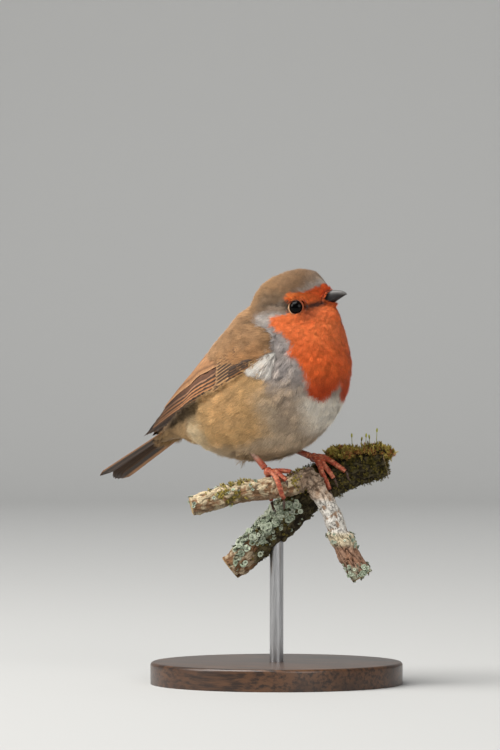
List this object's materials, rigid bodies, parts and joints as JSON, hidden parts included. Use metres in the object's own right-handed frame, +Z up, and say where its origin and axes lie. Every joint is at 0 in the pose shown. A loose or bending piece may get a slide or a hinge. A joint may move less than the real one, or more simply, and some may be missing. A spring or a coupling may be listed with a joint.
{
  "type": "european robin on a perch, museum model",
  "caption": "Life-size still model of a perched European robin gripping a short cut length of lichened branch, held by a rod on a round base.",
  "frame": {"origin": "centre of the display base's underside", "axes": "+X the way the bird's body faces, +Y the bird's left side, +Z up"},
  "size_m": [0.1174, 0.092, 0.151],
  "materials": {
    "orange_plumage": "soft rust-orange breast and face feathers",
    "brown_plumage": "soft olive-brown crown, nape and back feathers",
    "buff_plumage": "soft cream, grey and buff flank and belly feathers",
    "wing_feather": "smooth brown flight feathers with rufous edges",
    "tail_feather": "smooth dark brown tail feathers with light edges",
    "bill": "dark horn, lightly polished",
    "eye": "wet black-brown",
    "leg": "scaled orange-pink skin",
    "claw": "dark horn",
    "bark": "rough bark with lichen crust",
    "moss": "dry yellow-green moss cushion",
    "stand_wood": "satin dark stained hardwood",
    "stand_steel": "fine brushed"
  },
  "bodies": {
    "root": {"head": "brown_plumage", "neck": "orange_plumage", "trunk": "buff_plumage", "rump": "buff_plumage", "tail_left": "tail_feather", "tail_right": "tail_feather", "bill_upper": "bill", "bill_lower": "bill", "eye_left": "eye", "eye_right": "eye", "wing_left_coverts": "wing_feather", "wing_left_quills": "wing_feather", "wing_right_coverts": "wing_feather", "wing_right_quills": "wing_feather", "tarsus_left": "leg", "tarsus_right": "leg", "foot_left": "leg", "foot_right": "leg", "claw_left_inner": "claw", "claw_left_middle": "claw", "claw_left_outer": "claw", "claw_left_hind": "claw", "claw_right_inner": "claw", "claw_right_middle": "claw", "claw_right_outer": "claw", "claw_right_hind": "claw", "perch_bough": "bark", "perch_branch": "bark", "perch_moss": "moss", "stand_base": "stand_wood", "stand_rod": "stand_steel"}
  },
  "joints": []
}
